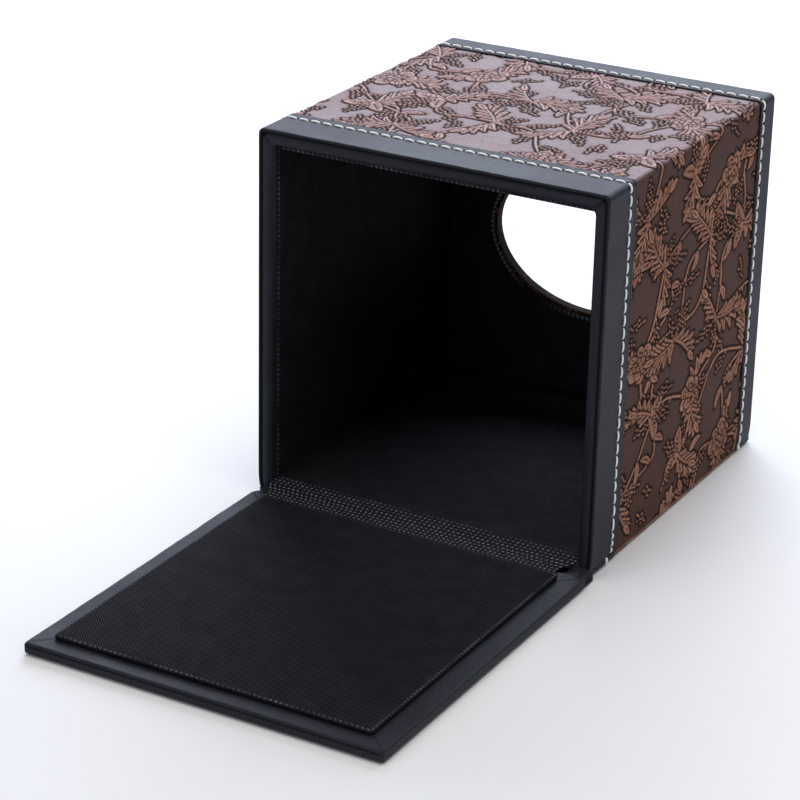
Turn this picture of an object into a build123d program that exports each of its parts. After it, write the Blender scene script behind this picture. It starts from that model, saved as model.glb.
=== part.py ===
from build123d import *
import os

# Leather-covered cube cover for a square tissue box or a roll, lying on its side with its
# magnetic flap folded open. Millimetres. The origin is the centre of the box's underside,
# +Z is up, the mouth faces -Y and the flap lies in front of it.

# ---- Driving dimensions: the box ----
BOX_WIDTH = 135.0
BOX_DEPTH = 139.0
BOX_HEIGHT = 138.5
BOARD = 3.0  # greyboard wall
LEATHER = 1.0  # sheet leather over the boards
HEM = 0.5  # how far the folded black bands stand proud of the embossed leather
LINING = 1.0  # non-woven lining on its paper backing
BOTTOM_SHEET = 1.5  # sewn leather under the box
EDGE_RADIUS = 1.5  # rounding of the padded outer edges

# ---- Driving dimensions: seams ----
FRONT_STITCH = 16.1  # from the mouth plane to the front stitch row
REAR_STITCH = 11.2  # from the rear face to the rear stitch row
FRONT_FOLD = 5.0  # from the front row to the folded edge of its band
REAR_FOLD = 2.3  # from the rear row to the folded edge of its band
BOTTOM_STITCH = 13.4  # from the mouth plane to the front row of the underside
BOTTOM_INSET = 1.0  # how far the sewn bottom sheet stays in from the box's sides
HEM_OVERLAP = 3.5  # how far a band laps over the embossed leather
RIM_TURN_IN = 4.0  # rim leather turned in past the mouth
STITCH_PITCH = 4.7
STITCH_LENGTH = 3.5
STITCH_WIDTH = 0.7
STITCH_PROUD = 0.2
GROOVE_WIDTH = 0.9
GROOVE_DEPTH = 0.3
CORNER_CLEAR = 2.4  # straight stitches stop this far from a corner

# ---- Driving dimensions: dispensing hole ----
HOLE_WIDTH = 84.0
HOLE_HEIGHT = 59.5
HOLE_SLEEVE = 1.0  # leather turned through the hole

# ---- Driving dimensions: flap and its leather hinge ----
FLAP_WIDTH = 134.0
FLAP_LENGTH = 138.0
FLAP_THICKNESS = 4.0
FLAP_OFFSET = 2.0  # the flap is glued slightly to the right of the box
FLAP_SKIN = 1.0  # leather under the flap board
FLAP_TURN_IN = 0.8  # leather folded over on to the inside of the flap
FLAP_TURN_WIDTH = 14.0
FLAP_EDGE_SKIN = 1.2
FLAP_CLOSED_BOTTOM = 1.2  # height of the flap's hinge edge when it is shut
SHUT_CLEARANCE = 0.3
HINGE_GAP = 7.0  # free leather between the mouth and the flap
HINGE_LEATHER = 1.0
HINGE_INSET = 2.0
HINGE_END = 0.5  # how far the free leather stays in from the flap's right edge
PAD_SIDE_MARGIN = 7.0
PAD_WIDTH = 119.0
PAD_SHUT_BOTTOM = 6.0  # height of the pad's hinge edge when the flap is shut
PAD_SHUT_TOP = 132.4
PAD_BOARD = 1.4
PAD_FABRIC = 0.6

# ---- Driving dimensions: catch ----
MAGNET_WIDTH = 20.0
MAGNET_HEIGHT = 2.6
MAGNET_DEPTH = 1.5
MAGNET_X = 2.5
MAGNET_Z = 135.5

# ---- Worked out ----
HALF_WIDTH = BOX_WIDTH / 2
FRONT = -BOX_DEPTH / 2
REAR = BOX_DEPTH / 2
SKIN = LEATHER + HEM
BOARD_HALF = HALF_WIDTH - SKIN
BOARD_TOP = BOX_HEIGHT - SKIN
BOARD_FRONT = FRONT + SKIN
BOARD_REAR = REAR - SKIN
LINING_HALF = BOARD_HALF - BOARD
LINING_TOP = BOARD_TOP - BOARD
LINING_REAR = BOARD_REAR - BOARD
ROOM_HALF = LINING_HALF - LINING
ROOM_TOP = LINING_TOP - LINING
ROOM_REAR = LINING_REAR - LINING
FLOOR_BOARD_TOP = BOTTOM_SHEET + BOARD
FLOOR = FLOOR_BOARD_TOP + LINING
LINING_FRONT = FRONT + RIM_TURN_IN
FRONT_ROW = FRONT + FRONT_STITCH
REAR_ROW = REAR - REAR_STITCH
BOTTOM_ROW = FRONT + BOTTOM_STITCH
FRONT_BAND_END = FRONT_ROW + FRONT_FOLD
REAR_BAND_END = REAR_ROW - REAR_FOLD
WRAP_FRONT = FRONT_BAND_END - HEM_OVERLAP
WRAP_REAR = REAR_BAND_END + HEM_OVERLAP
FRAME = REAR - REAR_BAND_END  # width of the black frame on the rear face
HOLE_Z = BOX_HEIGHT / 2
PANEL_HALF = HALF_WIDTH - FRAME + HEM_OVERLAP
PANEL_BOTTOM = FRAME - HEM_OVERLAP
PANEL_TOP = BOX_HEIGHT - FRAME + HEM_OVERLAP

# The flap turns about a line that puts it against the rim when shut and flat when open.
HINGE_Z = (FLAP_THICKNESS + SHUT_CLEARANCE + FLAP_CLOSED_BOTTOM - HINGE_GAP) / 2
HINGE_Y = FRONT - SHUT_CLEARANCE - FLAP_THICKNESS + HINGE_Z
FLAP_BACK = FRONT - HINGE_GAP
FLAP_FRONT = FLAP_BACK - FLAP_LENGTH
FLAP_LEFT = FLAP_OFFSET - FLAP_WIDTH / 2
FLAP_RIGHT = FLAP_OFFSET + FLAP_WIDTH / 2
FLAP_BOARD_TOP = FLAP_THICKNESS - FLAP_TURN_IN


def open_y(shut_height):
    """Where a height on the shut flap lies along Y when the flap is open."""
    return HINGE_Y + HINGE_Z - shut_height


PAD_BACK = open_y(PAD_SHUT_BOTTOM)
PAD_FRONT = open_y(PAD_SHUT_TOP)
PAD_LEFT = FLAP_LEFT + PAD_SIDE_MARGIN
PAD_RIGHT = PAD_LEFT + PAD_WIDTH
PAD_TOP = FLAP_THICKNESS + PAD_BOARD + PAD_FABRIC


# ---- Helpers ----
def block(x0, x1, y0, y1, z0, z1):
    """A box between two corners."""
    centre = Pos((x0 + x1) / 2, (y0 + y1) / 2, (z0 + z1) / 2)
    return centre * Box(x1 - x0, y1 - y0, z1 - z0)


def arch(half, top, y0, y1, bottom=BOTTOM_SHEET):
    """A block as wide as two sides and as high as a top, standing on bottom."""
    return block(-half, half, y0, y1, bottom, top)


def arch_sheet(inner, outer, y0, y1, bottom=BOTTOM_SHEET):
    """A sheet bent over left side, top and right side; inner and outer are (half, top)."""
    return arch(*outer, y0, y1, bottom) - arch(*inner, y0 - 1, y1 + 1, bottom - 1)


def oval_plug(grow, y0, y1):
    """A solid with the hole's outline, grown evenly, between two Y planes."""
    outline = Ellipse(HOLE_WIDTH / 2 + grow, HOLE_HEIGHT / 2 + grow)
    return extrude(Plane((0, y0, HOLE_Z), x_dir=(1, 0, 0), z_dir=(0, 1, 0)) * outline, y1 - y0)


def centres(start, end):
    """Evenly pitched stitch centres, as many as fit between two limits."""
    count = int((end - start - STITCH_LENGTH) / STITCH_PITCH) + 1
    first = (start + end - (count - 1) * STITCH_PITCH) / 2
    return [first + i * STITCH_PITCH for i in range(count)]


def run(face, side, place, across, start, end, proud=STITCH_PROUD):
    """The stitches and the groove of one straight row on a flat surface.

    face is the axis that the surface faces, side the sign of its outward direction and place
    where it lies on that axis. across is the row's place on a second axis, as (axis, value).
    The row runs along the remaining axis from start to end.
    """
    across_axis, across_value = across
    along_axis = ({"x", "y", "z"} - {face, across_axis}).pop()

    def piece(half_width, above, low, high):
        spans = {
            face: sorted((place - side * GROOVE_DEPTH, place + side * above)),
            across_axis: (across_value - half_width, across_value + half_width),
            along_axis: (low, high),
        }
        return block(*spans["x"], *spans["y"], *spans["z"])

    half = STITCH_LENGTH / 2
    stitches = [
        piece(STITCH_WIDTH / 2, proud, centre - half, centre + half)
        for centre in centres(start, end)
    ]
    return stitches, piece(GROOVE_WIDTH / 2, 1, start, end)


def rows(*runs):
    """Joins several straight rows into one list of stitches and one list of grooves."""
    stitches = [stitch for row in runs for stitch in row[0]]
    grooves = [row[1] for row in runs]
    return stitches, grooves


def arch_rows(y):
    """Stitch rows round left side, top and right side at one Y."""
    low = BOTTOM_SHEET + 1.0
    high = BOX_HEIGHT - CORNER_CLEAR
    reach = HALF_WIDTH - CORNER_CLEAR
    return rows(
        run("x", -1, -HALF_WIDTH, ("y", y), low, high),
        run("z", 1, BOX_HEIGHT, ("y", y), -reach, reach),
        run("x", 1, HALF_WIDTH, ("y", y), low, high),
    )


def rear_face_rows():
    """The rectangle of stitches on the rear frame."""
    left, right = -HALF_WIDTH + REAR_STITCH, HALF_WIDTH - REAR_STITCH
    low, high = REAR_STITCH, BOX_HEIGHT - REAR_STITCH
    inset = GROOVE_WIDTH
    return rows(
        run("y", 1, REAR, ("z", low), left + inset, right - inset),
        run("y", 1, REAR, ("z", high), left + inset, right - inset),
        run("y", 1, REAR, ("x", left), low + inset, high - inset),
        run("y", 1, REAR, ("x", right), low + inset, high - inset),
    )


def underside_rows(y):
    """One row on the underside, pulled in flush so that the box rests on the leather."""
    reach = BOARD_HALF - 1.0
    return rows(run("z", -1, 0.0, ("y", y), -reach, reach, proud=0))


def cut(solid, tools):
    for tool in tools:
        solid = solid - tool
    return solid


def group(solids):
    return Compound(children=list(solids))


# ---- Boards ----
def magnet(y0, y1, z0, z1):
    return block(MAGNET_X - MAGNET_WIDTH / 2, MAGNET_X + MAGNET_WIDTH / 2, y0, y1, z0, z1)


def rim_magnet():
    half = MAGNET_HEIGHT / 2
    return magnet(BOARD_FRONT, BOARD_FRONT + MAGNET_DEPTH, MAGNET_Z - half, MAGNET_Z + half)


def flap_magnet():
    middle = open_y(MAGNET_Z)
    half = MAGNET_HEIGHT / 2
    return magnet(middle - half, middle + half, FLAP_BOARD_TOP - MAGNET_DEPTH, FLAP_BOARD_TOP)


def boards():
    """The five greyboard walls; the top one has the pocket for the rim magnet."""
    top = block(-BOARD_HALF, BOARD_HALF, BOARD_FRONT, BOARD_REAR, LINING_TOP, BOARD_TOP)
    floor = block(-BOARD_HALF, BOARD_HALF, BOARD_FRONT, BOARD_REAR, BOTTOM_SHEET, FLOOR_BOARD_TOP)
    side = block(LINING_HALF, BOARD_HALF, BOARD_FRONT, BOARD_REAR, FLOOR_BOARD_TOP, LINING_TOP)
    rear = block(-LINING_HALF, LINING_HALF, LINING_REAR, BOARD_REAR, FLOOR_BOARD_TOP, LINING_TOP)
    return {
        "top_board": top - rim_magnet(),
        "bottom_board": floor,
        "left_board": mirror(side, Plane.YZ),
        "right_board": side,
        "rear_board": rear - oval_plug(HOLE_SLEEVE, LINING_REAR - 1, BOARD_REAR + 1),
    }


# ---- Leather on the box ----
def box_envelope():
    """The rounded outside of the box, which trims every leather sheet."""
    solid = arch(HALF_WIDTH, BOX_HEIGHT, FRONT, REAR)
    crown = solid.edges().filter_by(Axis.Y).group_by(Axis.Z)[-1]
    front_face = solid.faces().sort_by(Axis.Y)[0]
    rear_face = solid.faces().sort_by(Axis.Y)[-1]
    around = [
        edge
        for face in (front_face, rear_face)
        for edge in face.edges()
        if edge.center().Z > BOTTOM_SHEET + 1
    ]
    return fillet(list(crown) + around, EDGE_RADIUS)


def embossed_wrap():
    """One embossed sheet over left side, top and right side."""
    outer = (HALF_WIDTH - HEM, BOX_HEIGHT - HEM)
    solid = arch(*outer, WRAP_FRONT, WRAP_REAR)
    crown = solid.edges().filter_by(Axis.Y).group_by(Axis.Z)[-1]
    solid = fillet(crown, EDGE_RADIUS)
    return solid - arch(BOARD_HALF, BOARD_TOP, WRAP_FRONT - 1, WRAP_REAR + 1, BOTTOM_SHEET - 1)


def embossed_rear_panel():
    """The embossed sheet of the rear face, turned through the dispensing hole."""
    sheet = block(-PANEL_HALF, PANEL_HALF, BOARD_REAR, BOARD_REAR + LEATHER, PANEL_BOTTOM, PANEL_TOP)
    sleeve = oval_plug(HOLE_SLEEVE, ROOM_REAR, BOARD_REAR)
    return sheet + sleeve - oval_plug(0, ROOM_REAR - 1, REAR + 1)


def front_band(wrap, envelope, grooves):
    """The smooth black band, turned over the mouth's edge and a little way in."""
    outside = arch_sheet(
        (BOARD_HALF, BOARD_TOP), (HALF_WIDTH, BOX_HEIGHT), FRONT, FRONT_BAND_END
    )
    rim = arch_sheet((ROOM_HALF, ROOM_TOP), (BOARD_HALF, BOARD_TOP), FRONT, BOARD_FRONT)
    turned = arch_sheet(
        (ROOM_HALF, ROOM_TOP),
        (LINING_HALF, LINING_TOP),
        BOARD_FRONT,
        LINING_FRONT,
        FLOOR_BOARD_TOP,
    )
    return cut(((outside + rim) & envelope) + turned - wrap, grooves)


def rear_band(wrap, panel, envelope, grooves):
    """The black band round the rear edges, continued as a frame on the rear face."""
    outside = arch_sheet((BOARD_HALF, BOARD_TOP), (HALF_WIDTH, BOX_HEIGHT), REAR_BAND_END, REAR)
    face = arch(BOARD_HALF, BOARD_TOP, BOARD_REAR, REAR)
    window = block(
        -HALF_WIDTH + FRAME, HALF_WIDTH - FRAME, BOARD_REAR - 1, REAR + 1, FRAME, BOX_HEIGHT - FRAME
    )
    return cut((outside + face - window & envelope) - wrap - panel, grooves)


def underside():
    """The sewn sheet below the box: black band, embossed sheet, black band."""
    half = HALF_WIDTH - BOTTOM_INSET
    front_stitches, front_grooves = underside_rows(BOTTOM_ROW)
    rear_stitches, rear_grooves = underside_rows(REAR_ROW)
    front = block(-half, half, FRONT, FRONT_BAND_END, 0, BOTTOM_SHEET)
    rear = block(-half, half, REAR_BAND_END, REAR, 0, BOTTOM_SHEET)
    return {
        "bottom_front_band": cut(front, front_grooves),
        "bottom_embossed_sheet": block(-half, half, FRONT_BAND_END, REAR_BAND_END, 0, BOTTOM_SHEET),
        "bottom_rear_band": cut(rear, rear_grooves),
        "bottom_front_stitching": group(front_stitches),
        "bottom_rear_stitching": group(rear_stitches),
    }


# ---- Lining ----
def linings():
    """Five cut panels of black non-woven, one on each inner face."""
    side = block(ROOM_HALF, LINING_HALF, LINING_FRONT, LINING_REAR, FLOOR, ROOM_TOP)
    across = (-LINING_HALF, LINING_HALF, LINING_FRONT, LINING_REAR)
    rear = block(-ROOM_HALF, ROOM_HALF, ROOM_REAR, LINING_REAR, FLOOR, ROOM_TOP)
    return {
        "top_lining": block(*across, ROOM_TOP, LINING_TOP),
        "floor_lining": block(*across, FLOOR_BOARD_TOP, FLOOR),
        "left_lining": mirror(side, Plane.YZ),
        "right_lining": side,
        "rear_lining": rear - oval_plug(HOLE_SLEEVE, ROOM_REAR - 1, LINING_REAR + 1),
    }


# ---- Hinge ----
def hinge_leather():
    """The free stretch of the bottom leather that the flap hangs on."""
    left = HEM + HINGE_INSET - HALF_WIDTH
    return block(left, FLAP_RIGHT - HINGE_END, FLAP_BACK, FRONT, 0, HINGE_LEATHER)


def hinge_lining():
    """The lining strip that bridges from the floor to the flap's pad."""
    thick = PAD_FABRIC
    top = [
        (LINING_FRONT, FLOOR),
        (FRONT, FLOOR),
        (FLAP_BACK, FLAP_THICKNESS + thick + 0.1),
        (PAD_BACK, FLAP_THICKNESS + thick + 0.1),
    ]
    under = [
        (PAD_BACK, FLAP_THICKNESS + 0.1),
        (FLAP_BACK, FLAP_THICKNESS + 0.1),
        (FRONT, FLOOR_BOARD_TOP),
        (LINING_FRONT, FLOOR_BOARD_TOP),
    ]
    face = make_face(Polyline(*top, *under, close=True))
    half = ROOM_HALF - SHUT_CLEARANCE
    standing = Plane((-half, 0, 0), x_dir=(0, 1, 0), z_dir=(1, 0, 0))
    return extrude(standing * face, 2 * half)


# ---- Flap ----
def flap_leather():
    """Leather under the flap, round its edges and folded on to its inner margin."""
    solid = block(FLAP_LEFT, FLAP_RIGHT, FLAP_FRONT, FLAP_BACK, 0, FLAP_THICKNESS)
    long_edges = solid.edges().filter_by(Axis.Y)
    front_edges = solid.faces().sort_by(Axis.Y)[0].edges()
    solid = fillet(list(long_edges) + list(front_edges.filter_by(Axis.X)), FLAP_EDGE_SKIN * 0.8)
    window = block(
        FLAP_LEFT + FLAP_TURN_WIDTH,
        FLAP_RIGHT - FLAP_TURN_WIDTH,
        FLAP_FRONT + FLAP_TURN_WIDTH,
        FLAP_BACK - FLAP_TURN_WIDTH,
        FLAP_BOARD_TOP,
        FLAP_THICKNESS + 1,
    )
    return solid - flap_board_blank() - window


def flap_board_blank():
    return block(
        FLAP_LEFT + FLAP_EDGE_SKIN,
        FLAP_RIGHT - FLAP_EDGE_SKIN,
        FLAP_FRONT + FLAP_EDGE_SKIN,
        FLAP_BACK - FLAP_EDGE_SKIN,
        FLAP_SKIN,
        FLAP_BOARD_TOP,
    )


def pad_board():
    return block(
        PAD_LEFT + PAD_FABRIC,
        PAD_RIGHT - PAD_FABRIC,
        PAD_FRONT + PAD_FABRIC,
        PAD_BACK - PAD_FABRIC,
        FLAP_THICKNESS,
        FLAP_THICKNESS + PAD_BOARD,
    )


def pad_fabric():
    """The lining fabric pulled over the pad board."""
    return block(PAD_LEFT, PAD_RIGHT, PAD_FRONT, PAD_BACK, FLAP_THICKNESS, PAD_TOP) - pad_board()


def build():
    envelope = box_envelope()
    wrap = embossed_wrap()
    panel = embossed_rear_panel()
    front_stitches, front_grooves = arch_rows(FRONT_ROW)
    rear_stitches, rear_grooves = arch_rows(REAR_ROW)
    face_stitches, face_grooves = rear_face_rows()
    nodes = {
        "embossed_wrap": wrap,
        "embossed_rear_panel": panel,
        "front_band": front_band(wrap, envelope, front_grooves),
        "rear_band": rear_band(wrap, panel, envelope, rear_grooves + face_grooves),
        "front_stitching": group(front_stitches),
        "rear_stitching": group(rear_stitches),
        "rear_face_stitching": group(face_stitches),
        "rim_magnet": rim_magnet(),
        "hinge_leather": hinge_leather(),
        "hinge_lining": hinge_lining(),
        "flap_leather": flap_leather(),
        "flap_board": flap_board_blank() - flap_magnet(),
        "flap_magnet": flap_magnet(),
        "pad_board": pad_board(),
        "pad_fabric": pad_fabric(),
    }
    nodes |= boards()
    nodes |= underside()
    nodes |= linings()
    return nodes


os.makedirs("parts", exist_ok=True)
for node, shape in build().items():
    export_step(shape, f"parts/{node}.step")
print(f"hinge line: y {HINGE_Y:.2f}, z {HINGE_Z:.2f}")
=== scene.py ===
import math
import random

import bpy
import numpy as np
from mathutils import Matrix, Vector


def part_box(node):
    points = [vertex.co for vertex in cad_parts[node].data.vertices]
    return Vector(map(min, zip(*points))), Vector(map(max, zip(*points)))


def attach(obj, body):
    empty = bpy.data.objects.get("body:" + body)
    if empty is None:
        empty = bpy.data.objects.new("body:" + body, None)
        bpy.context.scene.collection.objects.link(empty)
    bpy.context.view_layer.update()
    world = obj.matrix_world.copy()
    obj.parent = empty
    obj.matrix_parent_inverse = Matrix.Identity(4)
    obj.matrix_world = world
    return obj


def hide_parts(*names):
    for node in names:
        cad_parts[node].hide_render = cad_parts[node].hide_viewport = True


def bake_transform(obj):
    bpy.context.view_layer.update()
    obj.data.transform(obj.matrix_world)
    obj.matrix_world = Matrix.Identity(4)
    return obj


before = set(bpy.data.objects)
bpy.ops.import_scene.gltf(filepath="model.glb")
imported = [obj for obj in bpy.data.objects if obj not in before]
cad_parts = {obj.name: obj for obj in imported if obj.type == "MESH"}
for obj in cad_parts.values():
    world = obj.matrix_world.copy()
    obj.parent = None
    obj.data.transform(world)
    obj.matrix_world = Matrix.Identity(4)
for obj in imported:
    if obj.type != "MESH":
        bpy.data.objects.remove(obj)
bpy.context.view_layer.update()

# A leather-covered cube cover for a tissue box, lying on its side with its flap folded open.
# Everything is measured in millimetres here, read from the frame, and written in metres.

MM = 0.001


def corners(node):
    """Lowest and highest corner of a CAD node, in mm."""
    low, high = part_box(node)
    return np.array(low) / MM, np.array(high) / MM


def middle_y(node):
    """The y halfway through a CAD node, in mm."""
    low, high = corners(node)
    return (low[1] + high[1]) / 2


BAND_LOW, BAND_HIGH = corners("front_band")
WRAP_LOW, WRAP_HIGH = corners("embossed_wrap")
REAR_LOW, REAR_HIGH = corners("rear_band")
PANEL_LOW, PANEL_HIGH = corners("embossed_rear_panel")
FLAP_LOW, FLAP_HIGH = corners("flap_leather")
TOP_LINING_LOW = corners("top_lining")[0]
HINGE_LOW, HINGE_HIGH = corners("hinge_leather")
STRIP_LOW, STRIP_HIGH = corners("hinge_lining")

FOOT = BAND_LOW[2]  # where the side leather ends, above the sewn bottom
ROOM_HALF = -corners("left_lining")[1][0]  # half the width of the room inside
ROOM_TOP = TOP_LINING_LOW[2]
RIM_DEPTH = BAND_HIGH[0] - ROOM_HALF  # thickness of the rim round the mouth
LINING_FRONT = TOP_LINING_LOW[1]  # where the linings begin, behind the rim
FRONT_ROW_Y = middle_y("front_stitching")
REAR_ROW_Y = middle_y("rear_stitching")
FRAME_WIDTH = 13.5  # of the black frame round the rear face
WINDOW = BAND_HIGH[0] - FRAME_WIDTH  # half the width of the window in that frame
HOLE_CENTRE = np.array([0.0, (PANEL_LOW[2] + PANEL_HIGH[2]) / 2])
HOLE_HALF = np.array([42.0, 29.75])  # half axes of the oval dispensing hole

OUTER_BEND = 2.2  # radius of the leather at the box's long edges
INNER_BEND = 2.8  # radius of the turned-in leather inside the mouth
LEATHER = 1.0
LIP = 0.6  # how far a lining's folded front edge stands into the room
TOP_LIP = 2.4  # the same at the top, where the lining hangs a little
HEM = BAND_HIGH[0] - WRAP_HIGH[0]  # how proud the bands lie on the embossed leather
FOOT_TUCK = 0.6  # how far the side leather is drawn in at its foot
FOLD_RISE = 1.0  # how far the folded bottom strip shows up the sides
PITCH = 4.7  # from one needle hole to the next
FIRST_HOLE = 0.6  # from the foot of a band to its first needle hole
HOLE_SIZE = 0.55
DOT_PITCH = 1.95  # of the large bonded dots on the lining's edges
FINE = 0.38  # spacing of the points round a band


# ---- Mesh tools ----
def outline(points):
    """A closed line through rounded corners, each (a, b, radius, spacing of the run after it)."""
    arcs = []
    for k, (a, b, radius, spacing) in enumerate(points):
        here = np.array([a, b], float)
        back = np.array(points[k - 1][:2]) - here
        ahead = np.array(points[(k + 1) % len(points)][:2]) - here
        back, ahead = back / np.linalg.norm(back), ahead / np.linalg.norm(ahead)
        if not radius:
            arcs.append((here[None], spacing))
            continue
        half = math.acos(np.clip(back @ ahead, -1, 1)) / 2
        middle = here + (back + ahead) / np.linalg.norm(back + ahead) * radius / math.sin(half)
        first = here + back * radius / math.tan(half) - middle
        last = here + ahead * radius / math.tan(half) - middle
        turn = math.atan2(first[0] * last[1] - first[1] * last[0], first @ last)
        steps = max(3, math.ceil(abs(turn) * radius / 0.35))
        angles = math.atan2(first[1], first[0]) + turn * np.linspace(0, 1, steps + 1)
        arcs.append((middle + radius * np.stack([np.cos(angles), np.sin(angles)], 1), spacing))
    line = []
    for k, (arc, spacing) in enumerate(arcs):
        start, end = arc[-1], arcs[(k + 1) % len(arcs)][0][0]
        steps = max(1, math.ceil(np.linalg.norm(end - start) / spacing))
        share = np.arange(1, steps)[:, None] / steps
        line += [arc, start + (end - start) * share]
    return np.concatenate(line)


def arch(half, top, foot, radius, counts, tuck=0.0):
    """The line up one side, over the top and down the other, as (x, z), with outward normals."""
    leg, bend, bridge = counts

    def lean(z):
        """How far the line is drawn in towards its foot."""
        return tuck * held((foot + 7 - z) / 7) ** 2

    turn = np.linspace(0, 1, bend, endpoint=False)
    rise = np.linspace(foot, top - radius, leg, endpoint=False)
    across = np.linspace(radius - half, half - radius, bridge, endpoint=False)
    fall = np.linspace(top - radius, foot, leg)
    left = math.pi * (1 - turn / 2)
    right = math.pi / 2 * (1 - turn)
    x = [lean(rise) - half, radius - half + radius * np.cos(left), across]
    x += [half - radius + radius * np.cos(right), half - lean(fall)]
    z = [rise, top - radius + radius * np.sin(left), across * 0 + top]
    z += [top - radius + radius * np.sin(right), fall]
    nx = [rise * 0 - 1, np.cos(left), across * 0, np.cos(right), fall * 0 + 1]
    nz = [rise * 0, np.sin(left), across * 0 + 1, np.sin(right), fall * 0]
    line, normals = np.stack([np.concatenate(x), np.concatenate(z)], 1), np.concatenate(nx)
    return line, np.stack([normals, np.concatenate(nz)], 1)


def distance(line):
    """How far along a line each of its points is."""
    return np.concatenate([[0], np.cumsum(np.linalg.norm(np.diff(line, axis=0), axis=1))])


def sweep(outer, inner, depth, profile):
    """Rings of points: a profile of (y, depth) carried along a line, where inner lies at full depth."""
    share = profile[None, :, 1] / depth
    flat = outer[:, None] + (inner - outer)[:, None] * share[..., None]
    y = np.broadcast_to(profile[None, :, 0], flat.shape[:2])
    return np.stack([flat[..., 0], y, flat[..., 1]], -1)


def faces_of(rings, around):
    """Quads and end caps of a stack of closed rings, facing outward, and whether they had to be turned."""
    count, size = rings.shape[:2]
    index = np.arange(count * size).reshape(count, size)
    nearby = np.roll(index, -1, 1)
    if around:
        quads = np.stack([index, nearby, np.roll(nearby, -1, 0), np.roll(index, -1, 0)], -1)
        caps = []
    else:
        quads = np.stack([index[:-1], nearby[:-1], nearby[1:], index[1:]], -1)
        caps = [index[0, ::-1], index[-1]]
    quads = quads.reshape(-1, 4)
    points = rings.reshape(-1, 3) - rings.reshape(-1, 3).mean(0)
    fans = [(quads[:, 0], quads[:, 1], quads[:, 2]), (quads[:, 0], quads[:, 2], quads[:, 3])]
    fans += [(np.full(len(cap) - 2, cap[0]), cap[1:-1], cap[2:]) for cap in caps]
    volume = sum((points[a] * np.cross(points[b], points[c])).sum() for a, b, c in fans)
    if volume < 0:
        quads, caps = quads[:, ::-1], [cap[::-1] for cap in caps]
    return quads, caps, volume < 0


def normals_of(rings):
    """Outward unit normals at the points of a stack of closed rings."""
    across = np.roll(rings, -1, 1) - np.roll(rings, 1, 1)
    normals = np.cross(across, np.gradient(rings, axis=0))
    normals /= np.maximum(np.linalg.norm(normals, axis=-1, keepdims=True), 1e-9)
    return -normals if faces_of(rings, False)[2] else normals


def raised(rings, lift):
    """The rings moved outward by lift, in mm."""
    return rings + normals_of(rings) * lift[..., None]


def build(name, parts, material, around=False):
    """A mesh object in metres from parts, each (rings in mm, {attribute: values})."""
    points, polygons, fields, base = [], [], {}, 0
    for rings, values in parts:
        quads, caps, _ = faces_of(rings, around)
        points.append(rings.reshape(-1, 3))
        polygons.append((quads + base, [cap + base for cap in caps]))
        for key, value in values.items():
            fields.setdefault(key, []).append((base, np.asarray(value)))
        base += rings.shape[0] * rings.shape[1]
    mesh = bpy.data.meshes.new(name)
    mesh.vertices.add(base)
    mesh.vertices.foreach_set("co", (np.concatenate(points) * MM).astype(np.float32).ravel())
    quads = np.concatenate([q for q, _ in polygons])
    caps = [cap for _, ends in polygons for cap in ends]
    sizes = np.array([4] * len(quads) + [len(cap) for cap in caps])
    loops = np.concatenate([quads.ravel(), *caps]).astype(np.int32)
    mesh.loops.add(len(loops))
    mesh.polygons.add(len(sizes))
    mesh.loops.foreach_set("vertex_index", loops)
    mesh.polygons.foreach_set("loop_start", (np.cumsum(sizes) - sizes).astype(np.int32))
    mesh.polygons.foreach_set("use_smooth", np.arange(len(sizes)) < len(quads))
    mesh.update(calc_edges=True)
    mesh.validate()
    for key, runs in fields.items():
        vector = runs[0][1].ndim == 3
        values = np.zeros((base, 3) if vector else base, np.float32)
        for start, value in runs:
            flat = value.reshape(-1, 3) if vector else value.ravel()
            values[start:start + len(flat)] = flat
        attribute = mesh.attributes.new(key, "FLOAT_VECTOR" if vector else "FLOAT", "POINT")
        attribute.data.foreach_set("vector" if vector else "value", values.ravel())
    piece = bpy.data.objects.new(name, mesh)
    bpy.context.scene.collection.objects.link(piece)
    mesh.materials.append(material)
    return piece


def cover(name, node, material, *parts, around=False, body="box"):
    """A piece that rides on a body in the place of its CAD node. The parts are as build takes them."""
    piece = build(name, parts, material, around)
    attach(piece, body)
    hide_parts(node)
    return piece


def wobble(values, seed, longest=60.0):
    """A slow unevenness from -1 to 1 along a line measured in mm."""
    rng = random.Random(seed)
    total = 0
    for share, harmonic in enumerate((1, 2, 3, 5), 1):
        rate = rng.uniform(0.4, 1.6) * math.tau / longest * harmonic
        total = total + np.sin(values * rate + rng.uniform(0, math.tau)) / share
    return total / 1.6


def swell(values, centre, width):
    """A bell-shaped bump of height 1 round centre."""
    return np.exp(-(((values - centre) / width) ** 2))


def held(values):
    """Values held between 0 and 1."""
    return np.clip(values, 0, 1)


def ease(share):
    """A share from 0 to 1 with a soft start and end."""
    return share * share * (3 - 2 * share)


def plateau(values, low, high, edge):
    """1 between low and high, falling smoothly to 0 over edge outside them."""
    rise = held((values - low) / edge + 1)
    fall = held((high - values) / edge + 1)
    return ease(np.minimum(rise, fall))


def metres(lengths):
    """Lengths in mm as plain numbers in metres."""
    return [float(length) * MM for length in lengths]


def beat(run, pitch):
    """Distance in mm from each place on a line to the nearest of some evenly spaced spots."""
    return np.abs((run / pitch) % 1 - 0.5) * pitch


def nearest(values, places):
    """Distance from each value to the nearest of some sorted places."""
    right = np.clip(np.searchsorted(places, values), 1, len(places) - 1)
    return np.minimum(np.abs(values - places[right - 1]), np.abs(values - places[right]))


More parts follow.
